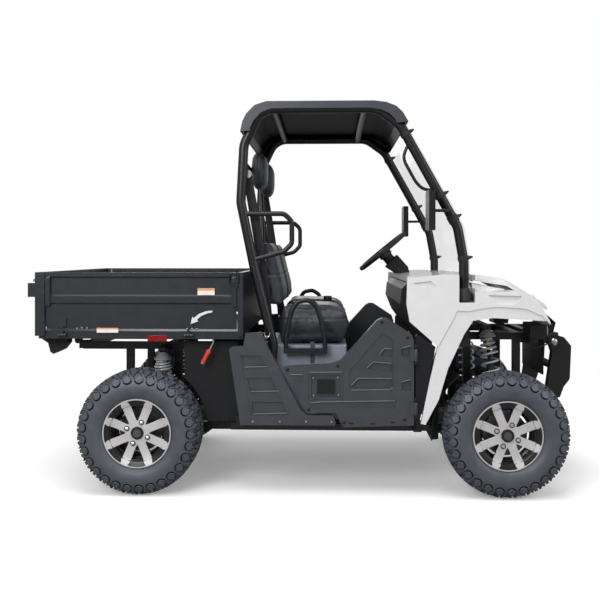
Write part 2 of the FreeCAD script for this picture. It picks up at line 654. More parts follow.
def rim(name, width):
    """The right-hand rim about its own middle: barrel, spoked disc, bore and lug holes."""
    edge = width / 2 - size("rim_inset")
    face = edge - size("rim_disc_inset")
    body = turned(name, barrel_outline(width))
    disc = ring_sketch(body, f"{name}_disc", "XZ_Plane", size("rim_seat_radius") - size("rim_wall") / 2,
                       face - size("rim_disc_thickness"))
    pad(body, f"{name}_disc_pad", disc, size("rim_disc_thickness"))
    back = face - size("rim_disc_thickness")
    window = ("window", sketch(body, f"{name}_window", "XZ_Plane", window_outline(), back), "spoke_count")
    bore = ("bore", ring_sketch(body, f"{name}_bore", "XZ_Plane", size("rim_bore"), back), None)
    place = [size("lug_circle") * f(math.pi / size("spoke_count")) for f in (math.sin, math.cos)]
    hole = ("hole", ring_sketch(body, f"{name}_lug", "XZ_Plane", size("lug_hole"), back, place), "lug_count")
    for word, drawn, count in (window, bore, hole):
        cut = body.newObject("PartDesign::Pocket", f"{name}_{word}_cut")
        cut.Profile = drawn
        cut.Reversed = True
        bind(cut, "Length", size("rim_disc_thickness") + size("overrun"))
        if count:
            repeat_round(body, f"{name}_{word}_ring", cut, drawn, count)
    return body


def rims():
    for end, x in (("front", FRONT_AXLE), ("rear", REAR_AXLE)):
        width = size(f"{end}_tyre_width")
        body = rim(f"{end}_rim", width)
        put(body, x, -wheel_middle(width), AXLE_Z)
        keep(body, f"rim_{end}_right")
        keep(mirrored(f"{end}_rim_left", body), f"rim_{end}_left")


def hubs():
    """Hub, flange and brake disc behind each rim."""
    for end, x in (("front", FRONT_AXLE), ("rear", REAR_AXLE)):
        width = size(f"{end}_tyre_width")
        seat = size("rim_inset") + size("rim_disc_inset") + size("rim_disc_thickness") - width / 2
        flange = seat + size("hub_flange_thickness")
        rotor = size("rotor_inner")
        centre = size("running_gap") * 0
        outline = [
            (centre, seat), (size("hub_flange_radius"), seat), (size("hub_flange_radius"), flange),
            (size("hub_radius"), flange), (size("hub_radius"), rotor - size("rotor_thickness")),
            (size("rotor_radius"), rotor - size("rotor_thickness")), (size("rotor_radius"), rotor),
            (size("hub_radius"), rotor), (size("hub_radius"), size("hub_inner")), (centre, size("hub_inner")),
        ]
        body = turned(f"{end}_hub", outline)
        put(body, x, -wheel_middle(width), AXLE_Z)
        keep(body, f"hub_{end}_right")
        keep(mirrored(f"{end}_hub_left", body), f"hub_{end}_left")


# Suspension
def knuckle():
    """The right-hand steering knuckle: kingpin post with two studs, spindle and steering arm."""
    x, y = FRONT_AXLE, -size("kingpin_y")
    reach = size("ball_joint_rise") - size("ball_joint_height") / 2 - size("running_gap") * 10
    post = cylinder("knuckle_post", "z", (x, y, AXLE_Z - reach), reach * 2, size("post_radius"))
    stud_length = size("ball_joint_rise") * 2 + size("ball_joint_height")
    stud = cylinder("knuckle_stud", "z", (x, y, AXLE_Z - stud_length / 2), stud_length, size("stud_radius"))
    hub_end = wheel_middle(size("front_tyre_width")) - size("hub_inner") - size("running_gap")
    spindle_end = size("kingpin_y") - size("spindle_inner")
    spindle = cylinder("knuckle_spindle", "y", (x, -hub_end, AXLE_Z), hub_end - spindle_end, size("spindle_radius"))
    arm_z = AXLE_Z + size("steering_arm_rise")
    arm = block("knuckle_arm", (x - size("steering_arm") - size("steering_arm_width") / 2, x),
                around(y, size("steering_arm_width")), (arm_z, arm_z + size("steering_arm_thickness")))
    body = join("knuckle", [post, stud, spindle, arm])
    keep(body, "knuckle_right")
    keep(mirrored("knuckle_mirror", body), "knuckle_left")


def wishbone(x, pivot_z, outer_y, outer_z, eye_hole):
    """A V of two tubes from two pivots to one outer eye, with a cross tube under the shock's foot."""
    radius = size("arm_tube")
    outer = (x, -outer_y, outer_z)
    legs, feet = [], []
    share = (size("shock_foot_y") - arm_pivot_y()) / (outer_y - arm_pivot_y())
    for side in (-1, 1):
        pivot = (x + size("arm_pivot_half") * side, -arm_pivot_y(), pivot_z)
        legs.append(rod(pivot, outer, radius))
        start = (pivot[0] - radius, pivot[1], pivot[2])
        legs.append(rod(start, (pivot[0] + radius, pivot[1], pivot[2]), radius * PIVOT_GROWTH))
        feet.append([p + (o - p) * share for p, o in zip(pivot, outer)])
    legs.append(rod(feet[0], feet[1], radius * 0.8))
    half = size("ball_joint_height") / 2
    legs.append(rod((x, -outer_y, outer_z - half), (x, -outer_y, outer_z + half), size("ball_joint_radius")))
    shape = fused(legs)
    if eye_hole:
        hole = size("stud_radius") + size("running_gap")
        bore = rod((x, -outer_y, outer_z - half * 3), (x, -outer_y, outer_z + half * 3), hole)
        shape = shape.cut(bore)
    return shape


def suspension_arms():
    """Two wishbones on each corner, and the two rear uprights."""
    shapes = []
    rise = size("ball_joint_rise")
    for level, pivot_z in ((-1, size("lower_pivot_z")), (1, size("upper_pivot_z"))):
        shapes.append(wishbone(FRONT_AXLE, pivot_z, size("kingpin_y"), AXLE_Z + rise * level, True))
    rear = [wishbone(REAR_AXLE, pivot_z, size("rear_upright_y"), AXLE_Z + rise * level, False)
            for level, pivot_z in ((-1, size("lower_pivot_z")), (1, size("upper_pivot_z")))]
    y = size("rear_upright_y")
    rear.append(rod((REAR_AXLE, -y, AXLE_Z - rise), (REAR_AXLE, -y, AXLE_Z + rise), size("post_radius")))
    hub_end = wheel_middle(size("rear_tyre_width")) - size("hub_inner") - size("running_gap")
    rear.append(rod((REAR_AXLE, -y + size("spindle_inner"), AXLE_Z), (REAR_AXLE, -hub_end, AXLE_Z),
                    size("spindle_radius")))
    shapes.append(fused(rear))
    keep(made("suspension_arms", Part.makeCompound(shapes + [flip(shape) for shape in shapes])), "suspension_arms")


def shock_ends():
    """Foot and top of the front and the rear shock on the right side."""
    ends = []
    for x, back, outer_y, under, top in (
        (FRONT_AXLE, size("shock_foot_back"), size("kingpin_y"), size("arm_tube") * 0.8,
         (behind("shock_top_back"), -size("shock_top_y"), size("shock_top_z"))),
        (REAR_AXLE, -size("rear_shock_x"), size("rear_upright_y"), size("arm_tube") * PIVOT_GROWTH,
         (ahead("rear_shock_x"), -size("rear_shock_top_y"), size("rear_shock_top_z"))),
    ):
        share = (size("shock_foot_y") - arm_pivot_y()) / (outer_y - arm_pivot_y())
        arm_z = size("upper_pivot_z") + (AXLE_Z + size("ball_joint_rise") - size("upper_pivot_z")) * share
        foot = (x - back, -size("shock_foot_y"), arm_z + under + size("shock_eye") + size("running_gap"))
        ends.append((foot, top))
    return ends


def shock_vectors(foot, top):
    low, high = (Vector(*[float(v) for v in point]) for point in (foot, top))
    way = (high - low).normalize()
    return low, high, way


def damper(foot, top):
    """Lower body with spring seat, rod, upper cap and an eye at each end."""
    low, high, way = shock_vectors(foot, top)
    eye, body = float(size("shock_eye")), float(size("shock_body"))
    seat_at = low + way * eye * 2.5
    cap_at = high - way * (eye * 1.5 + float(size("spring_seat")))
    middle = low + (high - low) * 0.55
    thick = float(size("spring_seat"))
    across = Vector(1, 0, 0)
    shapes = [
        Part.makeCylinder(eye, eye * 2, low - across * eye, across),
        Part.makeCylinder(eye, eye * 2, high - across * eye, across),
        Part.makeCylinder(body, (middle - low).Length, low, way),
        Part.makeCylinder(float(size("shock_rod")), (high - low).Length, low, way),
        Part.makeCylinder(float(size("shock_cap")), thick, seat_at - way * thick, way),
        Part.makeCylinder(float(size("shock_cap")), thick, cap_at, way),
        Part.makeCylinder(eye, eye, cap_at + way * thick, way),
    ]
    return fused(shapes)


def spring(foot, top):
    """A coil of faceted wire between the two seats."""
    low, high, way = shock_vectors(foot, top)
    eye, wire = float(size("shock_eye")), float(size("spring_wire"))
    side = (Vector(1, 0, 0) - way * way.x).normalize()
    other = way.cross(side)
    start = low + way * (eye * 2.5 + float(size("running_gap")) + wire)
    length = (high - low).Length - eye * 4 - float(size("spring_seat") + size("running_gap") * 2) - wire * 2
    steps, sides = COUNTS["coil_steps"], COUNTS["wire_sides"]
    count = round(length / float(size("spring_pitch"))) * steps
    rings = []
    for step in range(count + 1):
        turn = 2 * math.pi * step / steps
        out = side * math.cos(turn) + other * math.sin(turn)
        centre = start + way * (length * step / count) + out * float(size("spring_radius"))
        rings.append([centre + out * wire * math.cos(a) + way * wire * math.sin(a)
                      for a in [2 * math.pi * (i + 0.5) / sides for i in range(sides)]])
    faces = [facet(*rings[0]), facet(*rings[-1])]
    for one, two in zip(rings, rings[1:]):
        faces += strip(one, two)
    return closed_solid(faces)


def shocks():
    dampers = [damper(*ends) for ends in shock_ends()]
    springs = [spring(*ends) for ends in shock_ends()]
    keep(made("damper_set", Part.makeCompound(dampers + [flip(s) for s in dampers])), "dampers")
    keep(made("spring_set", Part.makeCompound(springs + [flip(s) for s in springs])), "springs")


def tie_rods():
    """Steering rack with a tie rod to each steering arm, which it meets with a small clearance."""
    x, z = rack_place()
    end = size("tie_rod_end_radius")
    arm_z = z + end
    y = size("kingpin_y")
    shapes = [rod((x, -y, z), (x, y, z), size("tie_rod_radius"))]
    for side in (-1, 1):
        shapes.append(rod((x, y * side, arm_z - end * 2), (x, y * side, arm_z), end))
    keep(made("tie_rod_pair", fused(shapes)), "tie_rods")


# Drive train
def powertrain():
    engine = block("engine", (ahead("engine_rear_x"), ahead("engine_front_x")),
                   (-size("engine_half"), size("engine_half")), (size("engine_bottom"), size("engine_top")))
    parts = [engine]
    for end, x, half in (("rear", REAR_AXLE, size("gearcase_half")),
                         ("front", FRONT_AXLE, size("front_gearcase_half"))):
        width, height = size("gearcase_width"), size("gearcase_height")
        parts.append(block(f"{end}_gearcase", (x - half, x + half), (-width, width), around(AXLE_Z, height)))
        ends = size("boot_end_y")
        parts.append(cylinder(f"{end}_shaft", "y", (x, -ends, AXLE_Z), ends * 2, size("shaft_radius")))
        boots = [cylinder(f"{end}_outer_boot", "y", (x, -ends, AXLE_Z), size("boot_length"), size("boot_radius")),
                 cylinder(f"{end}_inner_boot", "y", (x, -width - size("boot_length"), AXLE_Z), size("boot_length"),
                          size("boot_radius"))]
        parts += both(f"{end}_boots", boots)
    start = REAR_AXLE + size("gearcase_half") - size("overrun")
    length = size("wheelbase") - size("gearcase_half") - size("front_gearcase_half") + size("overrun") * 2
    parts.append(cylinder("prop_shaft", "x", (start, AXLE_Z * 0, AXLE_Z), length, size("prop_radius")))
    keep(join("powertrain", parts), "powertrain")


# Frame
def right_rails():
    """Rails and posts of the right side."""
    y, width, low = size("rail_y"), size("rail_width"), size("rail_bottom")
    rail = around(-y, width)
    deck_top, front_top = size("deck_rail_top"), size("front_rail_top")
    rear, front = ahead("rail_rear_x"), behind("rail_front_back")
    pillar = behind("pillar_front_back")
    parts = [
        block("lower_rail", (rear, front), rail, (low, low + width)),
        block("deck_rail", (ahead("deck_rail_end_x"), ahead("seat_post_x") + width), rail,
              (deck_top - width, deck_top)),
        block("front_rail", (pillar - width / 2, front), rail, (front_top - width, front_top)),
        block("pillar_bar", around(pillar, width), (size("running_gap") + size("skirt_depth") - size("body_half"), -y),
              (front_top - width, front_top)),
        block("lamp_bar", around(behind("lamp_front_back") - size("lamp_depth") / 2, width),
              (-size("lamp_y"), -y),
              (front_top - width, size("lamp_top") - size("lamp_height") - size("running_gap"))),
    ]
    for name in ("rear_post_x", "axle_post_x", "mid_post_x", "seat_post_x"):
        x = ahead(name)
        parts.append(block(f"{name}_right", (x, x + width), rail, (low + width / 2, deck_top - width / 2)))
    for name, x in (("front_post", behind("front_post_back")), ("nose_post", behind("nose_post_back"))):
        parts.append(block(name, (x, x + width), rail, (low + width / 2, front_top - width / 2)))
    return parts


def right_sill():
    """The sill, its outriggers and the tabs that carry the side panels."""
    width, low = size("rail_width"), size("rail_bottom")
    sill = around(-size("sill_y"), size("sill_width"))
    sill_z = (size("sill_bottom"), size("sill_bottom") + size("sill_height"))
    front = FRONT_AXLE - size("liner_radius") - size("skin") - size("running_gap")
    inner = -size("rail_y") + width / 2
    tab_y = (size("side_thickness") + size("running_gap") - size("side_half"), -size("floor_half") - size("running_gap"))
    outrigger = behind("outrigger_back")
    parts = [
        block("sill", (ahead("sill_rear_x"), front), sill, sill_z),
        block("outrigger_rear", (ahead("seat_post_x"), ahead("seat_post_x") + width), (-size("sill_y"), inner), sill_z),
        block("outrigger_front", (outrigger, outrigger + width), (-size("sill_y"), inner), sill_z),
        block("outrigger_post", (outrigger, outrigger + width), around(-size("rail_y"), width),
              (low + width / 2, sill_z[1])),
        block("trim_tab", (outrigger, outrigger + width), tab_y, (sill_z[0], sill_z[1] + width / 2)),
    ]
    for name in ("panel_tab_rear_x", "panel_tab_front_x"):
        x = ahead(name)
        parts.append(block(name, (x, x + width), tab_y, (size("panel_tab_low"), size("panel_tab_high"))))
    return parts


def right_mounts():
    """Pads for the engine, the gearcases and the bed, and the bed's hinge ear with its pin."""
    y, width, low = size("rail_y"), size("rail_width"), size("rail_bottom")
    gap, thick = size("running_gap"), size("mount_thickness")
    rail = around(-y, width)
    deck_top = size("deck_rail_top")
    parts = []
    for index, x in enumerate((ahead("engine_rear_x") + width, ahead("engine_front_x") - width)):
        parts.append(block(f"engine_pad_{index}", around(x, thick), (-y, width - size("engine_half")),
                           (low + width / 2, size("engine_bottom") - gap)))
    for name, x in (("rear_case_pad", REAR_AXLE), ("front_case_pad", FRONT_AXLE)):
        start = x + size("mount_offset")
        parts.append(block(name, (start, start + thick), (-y, -size("gearcase_width") - gap),
                           (low + size("hitch_plate"), low + width)))
    rest = ahead("bed_rest_x")
    parts.append(block("bed_rest", (rest, rest + width), rail, (deck_top, size("bed_rail_bottom") - gap)))
    pin_x, pin_z = ahead("bed_hinge_x"), size("bed_hinge_z")
    ear = size("ear_thickness")
    ear_inner = size("bed_rail_y") - size("bed_rail_width") / 2 - ear - gap * 10
    parts.append(cylinder("hinge_ear_round", "y", (pin_x, -ear_inner - ear, pin_z), ear, size("hinge_ear")))
    parts.append(block("hinge_ear_web", (pin_x, ahead("deck_rail_end_x") + width), (-ear_inner - ear, -ear_inner),
                       (deck_top - width, pin_z)))
    pin_end = size("bed_rail_y") + size("bed_rail_width") / 2 + gap
    parts.append(cylinder("hinge_pin", "y", (pin_x, -pin_end, pin_z), pin_end - ear_inner, size("hinge_pin")))
    return parts


def cross_members():
    """Members from side to side, low under the shafts and high under the deck, and the nose's tab."""
    y, width, low = size("rail_y"), size("rail_width"), size("rail_bottom")
    deck_top, front_top = size("deck_rail_top"), size("front_rail_top")
    rear, front = ahead("rail_rear_x"), behind("rail_front_back")
    nose_post = behind("nose_post_back")
    low_z = (low, low + width)
    deck_z = (deck_top - width, deck_top)
    top_z = (front_top - width, front_top)
    places = (
        ("rear_cross", rear, low_z), ("mid_cross", ahead("mid_post_x"), low_z), ("seat_cross", ahead("seat_post_x"), low_z),
        ("toe_cross", behind("front_post_back"), low_z), ("nose_cross", nose_post, low_z),
        ("deck_cross_rear", ahead("deck_rail_end_x"), deck_z), ("deck_cross_front", ahead("seat_post_x"), deck_z),
        ("top_cross", nose_post, top_z), ("grille_cross", front - width, top_z),
    )
    parts = [block(name, (x, x + width), (-y, y), z) for name, x, z in places]
    nose_rear, nose_front = behind("nose_rear_back"), behind("nose_front_back")
    tab_front = nose_rear + (nose_front - nose_rear) * NOSE_SHARES[6][0] - size("running_gap")
    tab = size("grille_tab")
    parts.append(block("grille_tab", (front - width, tab_front), (-tab, tab), (front_top - width * 2, front_top - width / 2)))
    return parts


def shock_towers():
    y, width = size("rail_y"), size("rail_width")
    rail = around(-y, width)
    tower = size("tower_half")
    eye = size("shock_eye") + size("running_gap")
    front_x, rear_x = behind("shock_top_back"), ahead("rear_shock_x")
    front_foot, rear_foot = size("shock_top_z") + eye, size("rear_shock_top_z") + eye
    parts = [
        block("front_tower", around(front_x, width), (-tower, tower), (front_foot, front_foot + width / 2)),
        block("rear_tower", around(rear_x, width), (-tower - width, tower + width), (rear_foot, rear_foot + width / 2)),
    ]
    legs = [block("tower_leg", around(front_x, width), rail, (size("front_rail_top") - width, front_foot + width / 2))]
    return parts + both("tower_legs", legs)


def rack_place():
    """How far ahead and how high the steering rack and its tie rods are."""
    x = FRONT_AXLE - size("steering_arm")
    return x, AXLE_Z + size("steering_arm_rise") - size("running_gap") - size("tie_rod_end_radius")


def frame():
    """Welded frame: rails, sills, mounts, cross members, shock towers, hitch and the steering rack's housing."""
    width, low = size("rail_width"), size("rail_bottom")
    centre = width * 0
    parts = both("frame", right_rails() + right_sill() + right_mounts()) + cross_members() + shock_towers()
    hitch_x = ahead("rail_rear_x") - size("hitch_length")
    plate = size("hitch_plate")
    parts.append(block("hitch_bar", (hitch_x, ahead("rail_rear_x") + width), around(centre, size("hitch_width")),
                       (size("hitch_z"), size("hitch_z") + plate)))
    parts.append(cylinder("hitch_round", "z", (hitch_x, centre, size("hitch_z")), plate, size("hitch_width") / 2))
    rack_x, rack_z = rack_place()
    half, over = size("rack_housing_half"), size("overrun")
    bore = size("tie_rod_radius") + size("running_gap")
    parts.append(cylinder("rack_housing", "y", (rack_x, -half, rack_z), half * 2, bore + size("rack_housing_wall")))
    stand = [block("rack_stand", (behind("front_post_back"), rack_x), (-half, width - half), (low + width / 2, rack_z))]
    parts += both("rack_stands", stand)
    holes = [cylinder("hitch_hole", "z", (hitch_x, centre, size("hitch_z") - over), plate + over * 2, size("hitch_hole")),
             cylinder("rack_bore", "y", (rack_x, -half - over, rack_z), (half + over) * 2, bore)]
    keep(carve("frame", join("frame_steel", parts), holes), "frame")


def floor_pan():
    """Floor, toe board and firewall in one bent sheet."""
    sheet_thick = size("floor_sheet")
    rear, toe, wall = ahead("floor_rear_x"), behind("toe_back"), behind("firewall_back")
    low, knee, top = floor_low(), size("toe_top"), size("firewall_top")
    outline = [(rear, low), (toe, low), (wall, knee), (wall, top), (wall - sheet_thick, top),
               (wall - sheet_thick, knee + sheet_thick), (toe - sheet_thick / 2, low + sheet_thick),
               (rear, low + sheet_thick)]
    keep(across_panel("floor_sheet_body", outline, size("floor_half")), "floor_pan")


def seat_base():
    """Open-bottomed box that carries the seats over the engine."""
    rear, front = ahead("base_rear_x"), ahead("base_front_x")
    half, wall = base_half(), size("base_sheet")
    low, top = floor_low() + size("floor_sheet") + size("running_gap"), size("base_top")
    shell = block("base_outer", (rear, front), (-half, half), (low, top))
    hollow = block("base_hollow", (rear - size("overrun"), front - wall), (wall - half, half - wall),
                   (low - size("overrun"), top - wall))
    keep(carve("seat_base", shell, [hollow]), "seat_base")


# Front body
def front_body():
    """White fender on each side with its deck, and the cowl between them."""
    rear, front = behind("cowl_rear_back"), behind("body_front_back")
    low, height = size("body_bottom"), size("body_top") - size("body_bottom")
    outer, skirt = size("body_half"), size("skirt_depth")
    side = side_panel("fender_side", shares(FENDER_SHARES, rear, front, low, height), outer, outer - skirt)
    pocket(side, "fender_flare", shares(FLARE_SHARES, rear, front, low, height), outer, size("flare_step"))
    for index, table in enumerate(FENDER_RECESS_SHARES):
        pocket(side, f"fender_recess_{index}", shares(table, rear, front, low, height), outer, size("slat_depth"))
    deck = side_panel("fender_deck", shares(DECK_SHARES, rear, front, low, height), outer, size("deck_inner_y"))
    cowl = across_panel("cowl", shares(COWL_SHARES, rear, front, low, height), outer)
    shell = join("front_body_shell", both("front_body", [side, deck, hood_lug(-1), hood_lug(1)]) + [cowl])
    floor, over = size("notch_floor"), size("overrun")
    notch_x = (behind("notch_rear_back"), behind("notch_front_back"))
    notch = block("pillar_notch", notch_x, (-outer - over, -size("notch_inner_y")), (floor, size("body_top") + over))
    ledge = block("pillar_ledge", notch_x, (-outer + skirt / 2, -size("notch_inner_y")),
                  (floor - size("notch_sheet"), floor))
    hole = cylinder("pillar_hole", "z", (behind("pillar_front_back"), -size("cage_half"), floor - over), over * 2,
                    size("cage_tube") + size("moving_gap") / 4)
    right = carve("pillar_ledge_holed", ledge, [hole])
    cut = carve("front_body_cut", shell, both("pillar_notches", [notch]))
    keep(join("front_body", [cut] + both("ledges", [right])), "front_body")


def hood_hinge():
    """Where the hood's hinge line is, ahead and up."""
    return behind("hood_rear_back") + size("hood_hinge_in"), size("hood_rear_z") - size("hood_hinge_drop")


def hood_lug(side):
    """One lug of the body beside a hood arm, with its half of the pin."""
    x, z = hood_hinge()
    radius, width = size("hood_hinge_radius"), size("hood_hinge_width")
    start = size("hood_lug") / 2
    centre = -size("hood_hinge_y") + (width / 2 + size("running_gap") + start) * side
    ys = around(centre, size("hood_lug"))
    name = f"hood_lug_{side + 1}"
    low = z - radius * 4
    start_x = behind("notch_front_back") - size("hood_lug_start")
    plate = block(f"{name}_plate", (start_x, x), ys, (low, low + radius * 2))
    post = block(f"{name}_post", around(x, radius * 2), ys, (low, z))
    eye = cylinder(f"{name}_eye", "y", (x, ys[0], z), size("hood_lug"), radius)
    pin = cylinder(f"{name}_pin", "y", (x, -size("hood_hinge_y") + width / -2 - radius, z), width + radius * 2,
                   size("hood_pin"))
    return join(name, [plate, post, eye, pin])


def hood():
    """The hood's skin between the fenders, narrower at the nose, with its two hinge arms."""
    rear, front = behind("hood_rear_back"), behind("hood_front_back")
    high, low = size("hood_rear_z"), size("hood_front_z")
    skin = size("hood_skin")
    half, front_half = size("hood_half"), size("hood_front_half")
    middle_x = rear + (front - rear) * 0.42
    middle_z = high - (high - low) * 0.16
    sections = []
    for x, z, wide in ((rear, high, half), (middle_x, middle_z, half), (front, low, front_half)):
        corners = [(x, -wide, z - skin * 6), (x, -wide, z - skin * 3), (x, wide * -0.8, z), (x, wide * 0.8, z),
                   (x, wide, z - skin * 3), (x, wide, z - skin * 6), (x, wide - skin, z - skin * 6),
                   (x, wide - skin, z - skin * 3.6), (x, wide * 0.78, z - skin),
                   (x, wide * -0.78, z - skin), (x, skin - wide, z - skin * 3.6), (x, skin - wide, z - skin * 6)]
        points = [Vector(*[float(v) for v in corner]) for corner in corners]
        sections.append(Part.makePolygon(points + points[:1]))
    skin_piece = made("hood_skin_loft", Part.makeLoft(sections, True, True))
    x, z = hood_hinge()
    radius = size("hood_hinge_radius")
    ys = around(-size("hood_hinge_y"), size("hood_hinge_width"))
    arm = join("hood_arm", [
        block("hood_arm_plate", around(x, radius * 2), ys, (z, high - skin / 2)),
        cylinder("hood_arm_eye", "y", (x, ys[0], z), size("hood_hinge_width"), radius),
    ])
    over = size("overrun")
    bore = cylinder("hood_arm_bore", "y", (x, ys[0] - over, z), size("hood_hinge_width") + over * 2,
                    size("hood_pin") + size("running_gap"))
    keep(join("hood", [skin_piece] + both("hood_arms", [carve("hood_arm_bored", arm, [bore])])), "hood")


def nose():
    rear, front = behind("nose_rear_back"), behind("nose_front_back")
    low, height = size("nose_bottom"), size("nose_top") - size("nose_bottom")
    keep(across_panel("nose_panel", shares(NOSE_SHARES, rear, front, low, height), size("nose_half")), "nose")


def headlamps():
    front = behind("lamp_front_back")
    lens = block("headlamp", (front - size("lamp_depth"), front), around(-size("lamp_y"), size("lamp_half") * 2),
                 (size("lamp_top") - size("lamp_height"), size("lamp_top")))
    keep(pair("headlamps", lens), "headlamps")


def dash():
    rear = behind("dash_rear_back")
    front = behind("firewall_back") - size("floor_sheet") - size("running_gap")
    low, height = size("dash_bottom"), size("dash_top") - size("dash_bottom")
    keep(across_panel("dash_body", shares(DASH_SHARES, rear, front, low, height), size("dash_half")), "dash")


def arch(x, radius, start, end, outer, inner, thick):
    """A curved liner about an axle, on the right side."""
    steps = 8
    angles = [math.radians(start + (end - start) * i / steps) for i in range(steps + 1)]
    outside = [(x + radius * math.cos(a), AXLE_Z + radius * math.sin(a)) for a in angles]
    inside = [(x + (radius - thick) * math.cos(a), AXLE_Z + (radius - thick) * math.sin(a)) for a in angles]
    return side_panel("front_liner", outside + inside[::-1], outer, inner)


def wheel_liners():
    """A curved liner behind each front wheel and a flat shield inside each rear wheel."""
    liner = arch(FRONT_AXLE, size("liner_radius") + size("skin"), 128, 186, size("liner_outer_y"),
                 size("liner_inner_y"), size("skin"))
    radius, low, top = size("shield_radius"), floor_low(), size("shield_top")
    curve = [(REAR_AXLE + radius * math.cos(math.radians(a)), AXLE_Z + radius * math.sin(math.radians(a)))
             for a in (50, 40, 30, 20, 10)]
    last = REAR_AXLE + radius * math.cos(math.asin((low - AXLE_Z) / radius))
    front = ahead("shield_front_x")
    outline = [(curve[0][0], top)] + curve + [(last, low), (front, low), (front, top)]
    inner = size("shield_y")
    shield = side_panel("rear_shield", outline, inner + size("shield_sheet"), inner)
    keep(group("wheel_liners", both("wheel_liners", [liner, shield])), "wheel_liners")


# Side panels and doors
def quarter_panels():
    rear, front = ahead("quarter_rear_x"), ahead("quarter_front_x")
    outer, low = size("side_half"), size("panel_bottom")
    spread = (rear, front, low, size("quarter_height"))
    body = side_panel("quarter_panel", shares(QUARTER_SHARES, *spread), outer, outer - size("side_thickness"))
    pocket(body, "quarter_recess", shares(QUARTER_RECESS_SHARES, *spread), outer, size("rib_depth"))
    for index, table in enumerate(QUARTER_SLAT_SHARES):
        pocket(body, f"quarter_slat_{index}", shares(table, *spread), outer, size("slat_depth"))
    keep(pair("quarter_panels", body), "quarter_panels")


def doors():
    rear, front = ahead("door_rear_x"), behind("door_front_back")
    outer, low = size("side_half"), size("door_bottom")
    spread = (rear, front, low, size("door_height"))
    panel = side_panel("door_panel", shares(DOOR_SHARES, *spread), outer, outer - size("side_thickness"))
    for index, table in enumerate(DOOR_RECESS_SHARES):
        pocket(panel, f"door_recess_{index}", shares(table, *spread), outer, size("rib_depth"))
    for index, table in enumerate(DOOR_SLAT_SHARES):
        pocket(panel, f"door_slat_{index}", shares(table, *spread), outer, size("slat_depth"))
    pad(panel, "door_plate", sketch(panel, "door_plate_outline", "XZ_Plane", shares(DOOR_PLATE_SHARES, *spread),
                                    outer - size("slat_depth")), size("rib_depth"))
    pin_x = behind("hinge_back")
    barrels = []
    for index, name in enumerate(("hinge_low_z", "hinge_high_z")):
        z = size(name)
        barrels.append(cylinder(f"door_barrel_{index}", "z", (pin_x, -outer, z), size("hinge_length"),
                                size("hinge_radius")))
        barrels.append(block(f"door_leaf_{index}", (front - size("overrun"), pin_x),
                             (-outer - size("hinge_radius") / 2, -outer), (z, z + size("hinge_length"))))
    over = size("overrun")
    bores = [cylinder(f"door_bore_{index}", "z", (pin_x, -outer, size(name) - over), size("hinge_length") + over * 2,
                      size("hinge_pin_radius") + size("running_gap"))
             for index, name in enumerate(("hinge_low_z", "hinge_high_z"))]
    body = carve("door", join("door_steel", [panel] + barrels), bores)
    keep(body, "door_right")
    keep(mirrored("door_mirror", body), "door_left")


def side_trim():
    """The dark panel between each door and the white fender, with the door's hinge eyes and pins."""
    outer, inner = size("trim_outer_y"), size("trim_inner_y")
    panel = side_panel("side_trim_panel", shares(TRIM_SHARES, behind("trim_rear_back"), behind("trim_front_back"),
                                                 size("trim_bottom"), size("trim_height")), outer, inner)
    x, gap, eye = behind("hinge_back"), size("running_gap"), size("hinge_eye")
    y, radius = -size("side_half"), size("hinge_radius")
    parts = [panel]
    for index, name in enumerate(("hinge_low_z", "hinge_high_z")):
        low, high = size(name), size(name) + size("hinge_length")
        parts.append(cylinder(f"hinge_pin_{index}", "z", (x, y, low - eye), high - low + eye * 2,
                              size("hinge_pin_radius")))
        for place, z in (("low", low - gap - eye), ("high", high + gap)):
            parts.append(cylinder(f"hinge_eye_{index}_{place}", "z", (x, y, z), eye, radius))
            parts.append(block(f"hinge_foot_{index}_{place}", (x, x + eye), (y, -inner), (z, z + eye)))
    keep(pair("side_trim", join("side_trim_set", parts)), "side_trim")


# Roll cage, roof and screen
def pillar_path():
    """One side of the cage: rear foot, up, over and down to the cowl."""
    y = -size("cage_half")
    top = size("roof_top") - size("roof_skin") - size("cage_tube") - size("running_gap")
    return [
        (ahead("pillar_base_x"), y, floor_low() + size("cage_tube") / 10),
        (ahead("pillar_foot_x"), y, size("pillar_foot_z")), (ahead("pillar_low_x"), y, size("pillar_low_z")),
        (ahead("pillar_mid_x"), y, size("pillar_mid_z")), (ahead("pillar_high_x"), y, below_roof("pillar_high_drop")),
        (ahead("cage_rear_x"), y, top), (behind("cage_front_back"), y, top),
        (behind("brow_back"), y, below_roof("brow_drop")), (behind("screen_foot_back"), y, size("screen_foot_z")),
        (behind("pillar_front_back"), y, size("pillar_front_z")),
        (behind("pillar_front_back"), y, size("front_rail_top") + size("running_gap")),
    ]


def on_pillar(z):
    """Where the rear pillar's centre line is at one height."""
    path = pillar_path()[:5]
    for low, high in zip(path, path[1:]):
        if float(low[2]) <= float(z) <= float(high[2]):
            share = (float(z) - float(low[2])) / (float(high[2]) - float(low[2]))
            return low[0] + (high[0] - low[0]) * share
    return path[-1][0]


def hip_hoops():
    """A bent bar on each rear pillar that keeps the hips of the one who sits there in."""
    y = -size("hoop_y")
    top, low, foot, front = size("hoop_top"), size("hoop_low"), size("hoop_foot"), ahead("hoop_front_x")
    start, end = on_pillar(top), on_pillar(foot)
    points = [(start, y, top), (front - size("small_bend"), y, top), (front, y, top - size("small_bend")),
              (front, y, low + size("small_bend")), (front - size("small_bend"), y, low), (end, y, foot)]
    pillar = tube(pillar_path(), size("cage_tube") + size("running_gap"), size("cage_bend"))
    hoop = tube(points, size("small_tube"), size("small_bend")).cut(pillar)
    outside = [solid for solid in hoop.Solids if solid.CenterOfMass.x > float(start)]
    hoop = max(outside, key=lambda solid: solid.Volume)
    keep(made("hip_hoop_pair", Part.makeCompound([hoop, flip(hoop)])), "hip_hoops")


